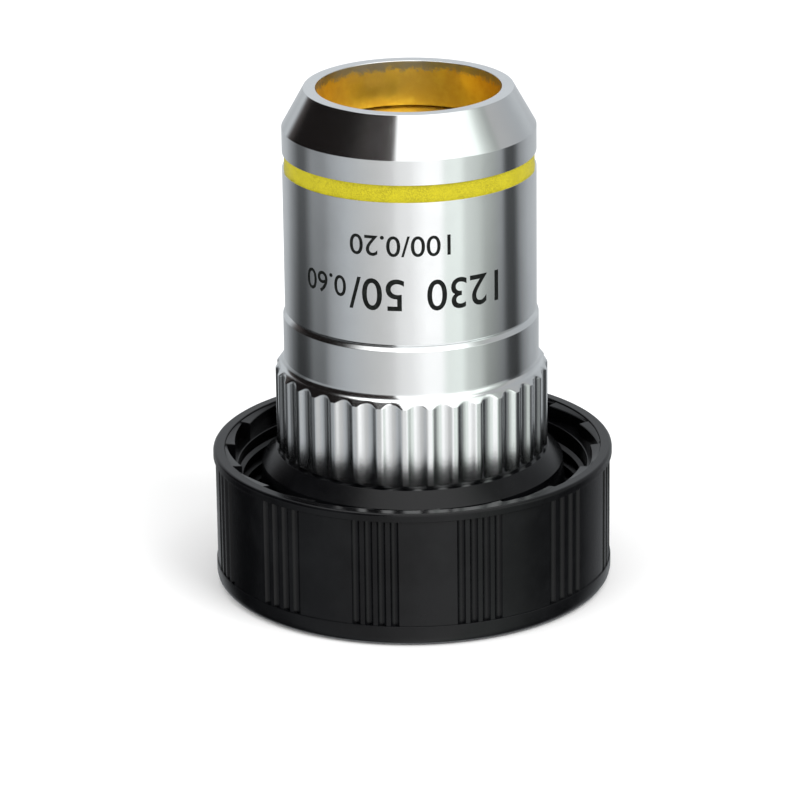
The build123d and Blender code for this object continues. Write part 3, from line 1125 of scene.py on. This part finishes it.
@dataclass
class MountBody:
    """Thread, fluted ring and collar, turned in one piece."""

    foot: float = measured(node_foot, "mount_body")
    top: float = measured(node_top, "mount_body")
    ring_radius: float = measured(node_radius, "mount_body")
    seam: float = measured(node_foot, "outer_sleeve")
    shoulder: float = measured(node_top, "storage_cap")
    seat: float = measured(node_foot, "parfocal_ring")
    barrel_radius: float = measured(node_radius, "lens_barrel")
    barrel_clearance: float = 0.05 * MM

    thread_root: float = 9.66 * MM
    thread_crest: float = 10.13 * MM
    thread_widths: Span = (0.54 * MM, 0.09 * MM)
    thread_lead: float = 0.5 * MM
    thread_end: float = 0.25 * MM
    thread_end_chamfer: float = 0.4 * MM
    thread_relief: float = 0.8 * MM
    thread_relief_radius: float = 9.6 * MM
    thread_relief_slope: float = 0.03 * MM

    ring_step: float = 0.85 * MM
    ring_height: float = 8.6 * MM
    flute_count: int = 34
    flute_depth: float = 0.33 * MM
    flute_cutter: float = 1.5 * MM
    flute_blend: float = 0.12 * MM
    flute_steps: int = 28
    flute_phase: float = math.radians(2.1) + FRONT
    ring_chamfer: float = 0.6 * MM
    ring_foot_chamfer: float = 0.4 * MM
    chamfer_steps: int = 5

    collar_chamfer: float = 0.4 * MM
    cove_radius: float = 0.8 * MM
    cove_flare: float = 0.4 * MM
    cove_steps: int = 10
    spigot_radius: float = 11.0 * MM
    passage_step: float = 1.65 * MM
    crisp_edge: float = 0.03 * MM
    collar_edge: float = 0.04 * MM
    plain_edge: float = 0.05 * MM
    soft_edge: float = 0.1 * MM

    @property
    def collar_radius(self) -> float:
        """Radius of the collar above the flutes."""
        return self.ring_radius - self.ring_step

    def ring_shape(self, pattern: Pattern, radii: np.ndarray, angles: np.ndarray) -> np.ndarray:
        """Radii of the fluted wall.

        Args:
            pattern: the flutes.
            radii: the outline's radii.
            angles: the columns' angles.

        Returns:
            The outline's radii, or the flutes' where those lie deeper.
        """
        away = from_mark(angles, self.flute_phase, TURN / self.flute_count)
        axis = self.ring_radius - self.flute_depth + self.flute_cutter
        reach = cutter_reach(axis, self.flute_cutter, away)
        gap = np.maximum(self.flute_blend - np.abs(radii - reach), 0.0) / self.flute_blend
        return np.minimum(radii, reach) - gap**2 * self.flute_blend / 4

    def cove(self) -> list[Corner]:
        """The hollow curve between ring and collar, from its foot to its top."""
        height = math.sqrt(self.cove_radius**2 - (self.cove_radius - self.cove_flare) ** 2)
        foot = self.shoulder + self.ring_height
        corners = []
        for step in range(self.cove_steps + 1):
            below = height * (1 - step / self.cove_steps)
            out = self.cove_radius - math.sqrt(self.cove_radius**2 - below**2)
            corners.append(Corner(self.collar_radius + out, foot + height - below))
        return corners

    def corners(self) -> list[Corner]:
        """The outline, from the foot of the thread up the outside and down the bore."""
        ring_top = self.shoulder + self.ring_height
        ring, root, collar = self.ring_radius, self.thread_root, self.collar_radius
        crisp, plain, soft = self.crisp_edge, self.plain_edge, self.soft_edge
        relief = self.shoulder - self.thread_relief
        bore = self.barrel_radius + self.barrel_clearance
        passage = bore - self.passage_step
        chamfer = []
        for step in range(self.chamfer_steps):
            share = step / self.chamfer_steps
            chamfer.append(Corner(ring + (collar + self.cove_flare - ring) * share,
                                  ring_top - self.ring_chamfer * (1 - share), 0.0, Pattern.FLUTE))
        return [
            Corner(passage, self.foot, soft),
            Corner(root - self.thread_end_chamfer, self.foot, crisp),
            Corner(root, self.foot + self.thread_end_chamfer, crisp),
            Corner(root, relief),
            Corner(self.thread_relief_radius, relief + self.thread_relief_slope),
            Corner(self.thread_relief_radius, self.shoulder, soft),
            Corner(ring - self.ring_foot_chamfer, self.shoulder, crisp),
            Corner(ring, self.shoulder + self.ring_foot_chamfer, 0.0, Pattern.FLUTE),
            *chamfer,
            *self.cove(),
            Corner(collar, self.seam - self.collar_chamfer, self.collar_edge),
            Corner(collar - self.collar_chamfer, self.seam, crisp),
            Corner(self.spigot_radius, self.seam, plain),
            Corner(self.spigot_radius, self.top, soft),
            Corner(bore, self.top, soft),
            Corner(bore, self.seat, plain),
            Corner(passage, self.seat, plain),
        ]

    def build(self, finishes: Finishes) -> None:
        """Makes the body and its thread.

        Args:
            finishes: the materials.
        """
        step = TURN / self.flute_count / self.flute_steps
        angles = ring_angles([self.flute_phase], step)
        body = turned_piece("mount_turning", self.corners(), angles, True, self.ring_shape)
        dress(body, Body.OBJECTIVE, Slot.CHROME, finishes.chrome, ["mount_body"])
        low = self.foot + self.thread_lead
        turns = (self.shoulder - self.thread_relief - self.thread_end - low) / MOUNT_PITCH
        from_cap = (low - StorageCap().mount_low) / MOUNT_PITCH
        start = FRONT + TURN * (from_cap + 0.5)
        thread = HelicalRidge(self.thread_root, self.thread_crest, MOUNT_PITCH, low, turns,
                              *self.thread_widths, start).build("mount_thread")
        dress(thread, Body.OBJECTIVE, Slot.CHROME, finishes.chrome)


@dataclass
class OuterSleeve:
    """The plated sleeve with its bevelled nose, and the enamel in its groove."""

    seam: float = measured(node_foot, "outer_sleeve")
    nose: float = measured(node_top, "outer_sleeve")
    radius: float = measured(node_radius, "outer_sleeve")
    band_low: float = measured(node_foot, "colour_band")
    band_high: float = measured(node_top, "colour_band")
    band_radius: float = measured(node_radius, "colour_band")
    groove_depth: float = 0.3 * MM
    seam_chamfer: float = 0.25 * MM
    bevel_height: float = 3.75 * MM
    nose_radius: float = 9.9 * MM
    nose_bore: float = 8.75 * MM
    recess_depth: float = 4.4 * MM
    inner_radius: float = 9.6 * MM
    spigot_bore: float = 11.03 * MM
    lock_ring_top: float = measured(node_top, "lock_ring")
    spigot_room: float = 0.3 * MM
    columns: float = math.radians(0.9)
    fill_hollow: float = 0.04 * MM
    fill_climb: float = 0.16 * MM
    plated_depth: float = 0.2 * MM
    near: float = 0.001 * MM
    keen_edge: float = 0.02 * MM
    crisp_edge: float = 0.03 * MM
    fine_edge: float = 0.04 * MM
    plain_edge: float = 0.05 * MM
    mouth_edge: float = 0.06 * MM

    def corners(self) -> list[Corner]:
        """The outline, up the outside and down the bores."""
        groove = self.radius - self.groove_depth
        recess = self.nose - self.recess_depth
        step = self.lock_ring_top + self.spigot_room
        keen, fine, plain = self.keen_edge, self.fine_edge, self.plain_edge
        return [
            Corner(self.spigot_bore, self.seam, self.crisp_edge),
            Corner(self.radius - self.seam_chamfer, self.seam, keen),
            Corner(self.radius, self.seam + self.seam_chamfer, fine),
            Corner(self.radius, self.band_low, keen),
            Corner(groove, self.band_low),
            Corner(groove, self.band_high),
            Corner(self.radius, self.band_high, keen),
            Corner(self.radius, self.nose - self.bevel_height, plain),
            Corner(self.nose_radius, self.nose, plain),
            Corner(self.nose_bore, self.nose, self.mouth_edge),
            Corner(self.nose_bore, recess, fine),
            Corner(self.inner_radius, recess),
            Corner(self.inner_radius, step),
            Corner(self.spigot_bore, step),
        ]

    def band_corners(self) -> list[Corner]:
        """The enamel's outline: it climbs the groove's sides and is a little hollow between."""
        inner = self.radius - self.groove_depth
        middle = (self.band_low + self.band_high) / 2
        face = self.band_radius
        hollow = face - self.fill_hollow
        return [
            Corner(inner, self.band_low),
            Corner(face, self.band_low),
            Corner(hollow, self.band_low + self.fill_climb),
            Corner(hollow, middle),
            Corner(hollow, self.band_high - self.fill_climb),
            Corner(face, self.band_high),
            Corner(inner, self.band_high),
        ]

    def is_bare(self, face: bpy.types.MeshPolygon) -> bool:
        """Whether a face lies in the nose's recess or below it, where the brass isn't plated."""
        radius = math.hypot(face.center[0], face.center[1])
        if radius < self.nose_bore + self.near:
            return True
        return face.center[2] < self.nose - self.plated_depth and radius < self.inner_radius + self.near

    def build(self, finishes: Finishes) -> None:
        """Makes the sleeve and the band.

        Args:
            finishes: the materials.
        """
        angles = ring_angles((), self.columns)
        sleeve = turned_piece("sleeve_turning", self.corners(), angles)
        sleeve.data.materials.append(finishes.chrome)
        sleeve.data.materials.append(finishes.bore_brass)
        for face in sleeve.data.polygons:
            face.material_index = int(self.is_bare(face))
        dress(sleeve, Body.OBJECTIVE, Slot.CHROME, finishes.chrome, ["outer_sleeve"])
        band = turned_piece("band_enamel", self.band_corners(), angles)
        dress(band, Body.OBJECTIVE, Slot.ENAMEL, finishes.enamel, ["colour_band"])


@dataclass
class LensStack:
    """The inner pieces, which keep the frame's shapes and get their finishes here."""

    glass: tuple[str, ...] = ("front_lens", "front_doublet_flint", "front_doublet_crown",
                              "rear_doublet_flint", "rear_doublet_crown", "rear_lens")
    black: tuple[str, ...] = ("lens_barrel", "front_cell", "front_spacer", "front_doublet_cell",
                              "middle_spacer", "rear_doublet_cell", "rear_spacer", "rear_cell",
                              "aperture_stop")
    brass: tuple[str, ...] = ("front_retaining_ring", "parfocal_ring", "lock_ring")

    def build(self, finishes: Finishes) -> None:
        """Gives each carried-over node its material.

        Args:
            finishes: the materials.
        """
        for names, material in ((self.glass, finishes.glass), (self.black, finishes.black_metal),
                                (self.brass, finishes.ring_brass)):
            for name in names:
                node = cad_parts[name]
                node.data.materials.clear()
                node.data.materials.append(material)
                LOG.info("%s keeps its shape, in %s", name, material.name)


@dataclass(frozen=True)
class Mark:
    """One printed number.

    Args:
        name: the piece's name.
        text: its characters.
        height: height of its digits.
        azimuth: azimuth of its middle, in degrees.
        base: height of its baseline on the sleeve. The number stands upside down.
        narrow: width of its characters against the font's own.
    """

    name: str
    text: str
    height: float
    azimuth: float
    base: float
    narrow: float


@dataclass
class NumberMarks:
    """Plain numbers printed on the sleeve, to be read with the nose down."""

    radius: float = measured(node_radius, "outer_sleeve")
    proud: float = 0.006 * MM
    sunk: float = 0.05 * MM
    slice_width: float = 0.3 * MM
    digit_share: float = 0.729
    bolder: float = 0.006
    curve_steps: int = 6
    weld: float = 1e-5
    marks: tuple[Mark, ...] = (
        Mark("mark_small", "100/0.20", 2.05 * MM, -3.6, 37.9 * MM, 1.04),
        Mark("mark_large_right", "1230", 3.1 * MM, 26.7, 33.6 * MM, 0.98),
        Mark("mark_large_left", "50/", 3.2 * MM, -15.2, 33.7 * MM, 0.98),
        Mark("mark_large_end", "0.60", 2.1 * MM, -41.5, 33.6 * MM, 1.0),
    )

    def _flat(self, mark: Mark) -> bpy.types.Mesh:
        """A number as a flat closed mesh in a unit font size.

        Args:
            mark: the number.

        Returns:
            Its mesh.
        """
        curve = bpy.data.curves.new(mark.name, "FONT")
        curve.body = mark.text
        curve.size = 1.0
        curve.extrude = 0.5
        curve.offset = self.bolder
        curve.align_x = "CENTER"
        curve.resolution_u = self.curve_steps
        text = placed(mark.name + "_outline", curve)
        graph = bpy.context.evaluated_depsgraph_get()
        mesh = bpy.data.meshes.new_from_object(text.evaluated_get(graph))
        bpy.data.objects.remove(text)
        bpy.data.curves.remove(curve)
        return mesh

    def _wrapped(self, mark: Mark) -> bpy.types.Object:
        """A number laid round the sleeve.

        Args:
            mark: the number.

        Returns:
            The piece.
        """
        mesh = self._flat(mark)
        mesh.name = mark.name
        size = mark.height / self.digit_share
        work = bmesh.new()
        work.from_mesh(mesh)
        bmesh.ops.remove_doubles(work, verts=work.verts, dist=self.weld)
        widest = max(abs(vertex.co.x) for vertex in work.verts)
        wide = size * mark.narrow
        step = self.slice_width / wide
        for index in range(-int(widest / step), int(widest / step) + 1):
            bmesh.ops.bisect_plane(work, geom=work.verts[:] + work.edges[:] + work.faces[:],
                                   plane_co=(index * step, 0.0, 0.0), plane_no=(1.0, 0.0, 0.0))
        for vertex in work.verts:
            radius = self.radius + (self.proud if vertex.co.z > 0 else -self.sunk)
            azimuth = math.radians(mark.azimuth) - vertex.co.x * wide / self.radius
            height = mark.base - vertex.co.y * size
            vertex.co = (radius * math.sin(azimuth), -radius * math.cos(azimuth), height)
        bmesh.ops.recalc_face_normals(work, faces=work.faces)
        work.to_mesh(mesh)
        work.free()
        return placed(mark.name, mesh)

    def build(self, finishes: Finishes) -> None:
        """Makes the numbers.

        Args:
            finishes: the materials.
        """
        for mark in self.marks:
            dress(self._wrapped(mark), Body.OBJECTIVE, Slot.BLACK_METAL, finishes.ink)


Tint = tuple[float, float, float]
WHITE: Tint = (1.0, 1.0, 1.0)
COOL: Tint = (0.94, 0.98, 1.02)
GREEN: Tint = (0.96, 1.02, 0.98)
BROWN: Tint = (1.15, 0.95, 0.9)


@dataclass(frozen=True)
class LightStop:
    """Brightness of the light tent at one azimuth.

    Args:
        azimuth: the azimuth in degrees.
        light: the brightness, which may be over one.
        tint: its colour.
    """

    azimuth: float
    light: float
    tint: Tint


Stops = tuple[LightStop, ...]


def tinted(tint: Tint, *lights: tuple[float, float]) -> Stops:
    """Stops of one tint.

    Args:
        tint: the tint.
        lights: each one's azimuth in degrees and its brightness.

    Returns:
        The stops.
    """
    return tuple(LightStop(azimuth, light, tint) for azimuth, light in lights)


def rises(low: float, high: float) -> Span:
    """Two angles above the horizon, given in degrees."""
    return (math.radians(low), math.radians(high))


@dataclass(frozen=True)
class SoftLamp:
    """A square lamp.

    Args:
        name: its name.
        place: where it hangs.
        side: its side.
        power: its power in watts.
    """

    name: str
    place: tuple[float, float, float]
    side: float
    power: float

    def hang(self, aim: Vector) -> None:
        """Adds the lamp, pointing at a place."""
        light = bpy.data.lights.new(self.name, "AREA")
        light.size = self.side
        light.energy = self.power
        lamp = placed(self.name, light)
        lamp.location = self.place
        lamp.rotation_euler = (aim - lamp.location).to_track_quat("-Z", "Y").to_euler()
        lamp.visible_glossy = False


@dataclass
class Studio:
    """The pale floor, the soft lamps, and a tent of white and black cloth that polished metal reflects.

    The tent has three rows of stops, each from behind by the left, the front and the right to behind: what
    lies near the table, where the black cloths reach further in, what stands below eye level and what
    hangs above it. A dark strip crosses the lowest row, and the top is one bright panel.
    """

    floor_size: float = 6.0
    floor_drop: float = 0.02 * MM
    paper: Grain = Grain(6.0)
    tent_radius: float = 0.6
    tent_height: float = 0.03
    tent_sides: int = 96
    brightest: float = 2.0
    foot_edge: Span = rises(-19.0, -16.8)
    horizon: Span = rises(1.0, 4.0)
    zenith: Span = rises(54.0, 64.0)
    overhead: float = 2.2
    strip_rise: float = math.radians(-22.15)
    strip_edge: Span = rises(0.25, 0.7)
    strip_light: float = 0.03
    world_light: float = 0.95
    lamps: tuple[SoftLamp, ...] = (
        SoftLamp("key_lamp", (0.35, -0.35, 0.55), 0.4, 3.0),
        SoftLamp("fill_lamp", (-0.45, -0.30, 0.40), 0.5, 1.5),
    )
    foot: Stops = (
        *tinted(COOL, (-180, 0.56), (-150, 0.40), (-132, 0.10), (-121, 0.015), (-105, 0.015),
                (-98, 0.13), (-84, 0.09), (-77, 0.34), (-58, 0.56)),
        *tinted(WHITE, (-30, 0.68), (-16, 0.78), (-11, 0.93), (5, 1.12), (14, 1.3), (27, 1.3)),
        *tinted(GREEN, (32, 1.02), (46, 1.08), (51, 0.78), (64, 0.64), (72, 0.24)),
        *tinted(COOL, (88, 0.15), (100, 0.05), (112, 0.02), (122, 0.24), (136, 0.44), (180, 0.56)),
    )
    lower: Stops = (
        *tinted(COOL, (-180, 0.62), (-145, 0.50), (-132, 0.32), (-119, 0.13), (-109, 0.13),
                (-99, 0.34), (-86, 0.36), (-72, 0.46), (-58, 0.56)),
        *tinted(WHITE, (-30, 0.68), (-16, 0.78), (-11, 0.93), (0, 0.97), (5, 1.12), (14, 1.3), (27, 1.3)),
        *tinted(GREEN, (32, 1.02), (46, 1.08), (51, 0.78), (66, 0.66), (80, 0.50)),
        *tinted(COOL, (90, 0.42), (96, 0.08), (108, 0.09), (117, 0.34), (135, 0.50), (180, 0.62)),
    )
    upper: Stops = (
        *tinted(COOL, (-180, 0.72), (-141, 0.62)),
        *tinted(BROWN, (-134, 0.06), (-124, 0.008), (-60, 0.010), (-44, 0.028), (-34, 0.022),
                (-15.5, 0.045)),
        *tinted(WHITE, (-13.5, 1.5), (52, 1.5)),
        *tinted(GREEN, (54, 1.05), (57, 1.4), (70, 1.35), (74, 0.95), (79, 0.72), (86, 0.50), (90, 0.40)),
        *tinted(WHITE, (94, 0.50)),
        *tinted(COOL, (124, 0.48), (150, 0.64), (180, 0.72)),
    )

    def _ramp(self, bench: NodeBench, turn: Socket, stops: Stops) -> Socket:
        """A ramp of light round the tent.

        Args:
            bench: the tent's material.
            turn: the azimuth, from 0 behind to 1 behind.
            stops: the brightness at its azimuths.

        Returns:
            The colour's socket.
        """
        node = bench.add("ShaderNodeValToRGB")
        elements = node.color_ramp.elements
        while len(elements) < len(stops):
            elements.new(0.5)
        for element, stop in zip(elements, stops):
            element.position = stop.azimuth / 360 + 0.5
            element.color = (*(stop.light * channel / self.brightest for channel in stop.tint), 1.0)
        bench.join(turn, node.inputs[0])
        scaled = bench.add("ShaderNodeVectorMath", operation="SCALE")
        bench.join(node.outputs[0], scaled.inputs[0])
        bench.join(self.brightest, scaled.inputs["Scale"])
        return scaled.outputs[0]

    def tent(self) -> None:
        """Makes the tent, which only mirror-like surfaces see."""
        bench = NodeBench("tent cloth")
        x, y, z = bench.parted()
        azimuth = bench.maths("ARCTAN2", x, bench.maths("MULTIPLY", y, -1.0))
        turn = bench.maths("ADD", bench.maths("DIVIDE", azimuth, TURN), 0.5)
        rise = bench.maths("ARCTAN2", z, bench.length(x, y))
        from_strip = bench.maths("ABSOLUTE", bench.maths("SUBTRACT", rise, self.strip_rise))
        foot, lower, upper = (self._ramp(bench, turn, row) for row in (self.foot, self.lower, self.upper))
        colour = bench.blend(bench.spread(rise, self.foot_edge), foot, lower)
        colour = bench.blend(bench.spread(from_strip, self.strip_edge), grey(self.strip_light), colour)
        colour = bench.blend(bench.spread(rise, self.horizon), colour, upper)
        colour = bench.blend(bench.spread(rise, self.zenith), colour, grey(self.overhead))
        cloth = bench.add("ShaderNodeEmission")
        bench.join(colour, cloth.inputs["Color"])
        bench.join(cloth.outputs[0], bench.tree.nodes["Material Output"].inputs["Surface"])
        bench.tree.nodes.remove(bench.shader)
        bpy.ops.mesh.primitive_uv_sphere_add(segments=self.tent_sides, ring_count=self.tent_sides // 2,
                                             radius=self.tent_radius, location=(0.0, 0.0, self.tent_height))
        tent = bpy.context.object
        tent.name = "light_tent"
        tent.data.materials.append(bench.material)
        for rays in ("camera", "diffuse", "transmission", "volume_scatter", "shadow"):
            setattr(tent, "visible_" + rays, False)

    def floor(self) -> None:
        """Makes the floor."""
        bench = NodeBench("pale floor")
        colour = bench.blend(bench.noise(self.paper), grey(0.90), grey(0.93))
        bpy.ops.mesh.primitive_plane_add(size=self.floor_size, location=(0.0, 0.0, -self.floor_drop))
        floor = bpy.context.object
        floor.name = "pale_floor"
        floor.data.materials.append(bench.finish(Base_Color=colour, Roughness=0.9, Specular_IOR_Level=0.1))
        floor.visible_glossy = False

    def build(self) -> None:
        """Makes the studio."""
        world = bpy.data.worlds.new("soft studio")
        world.use_nodes = True
        background = world.node_tree.nodes["Background"]
        background.inputs["Color"].default_value = grey(1.0)
        background.inputs["Strength"].default_value = self.world_light
        bpy.context.scene.world = world
        bpy.context.scene.view_settings.view_transform = "Standard"
        self.tent()
        self.floor()
        for lamp in self.lamps:
            lamp.hang(Vector((0.0, 0.0, self.tent_height)))


@dataclass
class PhotoCamera:
    """The camera of the photograph: a long lens that looks down a little."""

    elevation: float = math.radians(19.9)
    roll: float = math.radians(0.656)
    distance: float = 430.0 * MM
    target_height: float = 17.61 * MM
    pixels_in_a_millimetre: float = 10.416
    picture_side: float = 800.0
    sensor: float = 36.0
    target_column: float = 412.0
    nearest: float = 0.01

    def build(self) -> None:
        """Makes the camera and takes it for the scene."""
        data = bpy.data.cameras.new("photo_camera")
        data.sensor_width = self.sensor
        data.lens = self.pixels_in_a_millimetre / MM * self.distance * self.sensor / self.picture_side
        data.shift_x = (self.picture_side / 2 - self.target_column) / self.picture_side
        data.clip_start = self.nearest
        camera = placed("photo_camera", data)
        back = Vector((0.0, -math.cos(self.elevation), math.sin(self.elevation)))
        camera.location = Vector((0.0, 0.0, self.target_height)) + back * self.distance
        tilt = Matrix.Rotation(math.pi / 2 - self.elevation, 4, "X")
        camera.rotation_euler = (tilt @ Matrix.Rotation(-self.roll, 4, "Z")).to_euler()
        bpy.context.scene.camera = camera


def main() -> None:
    """Builds the object and its studio, in order."""
    logging.basicConfig(level=logging.INFO, format="%(name)s: %(message)s")
    PhotoCamera().build()
    Studio().build()
    finishes = Finishes.make(node_top("outer_sleeve"))
    StorageCap().build(finishes)
    MountBody().build(finishes)
    OuterSleeve().build(finishes)
    LensStack().build(finishes)
    NumberMarks().build(finishes)


if __name__ == "__main__":
    main()
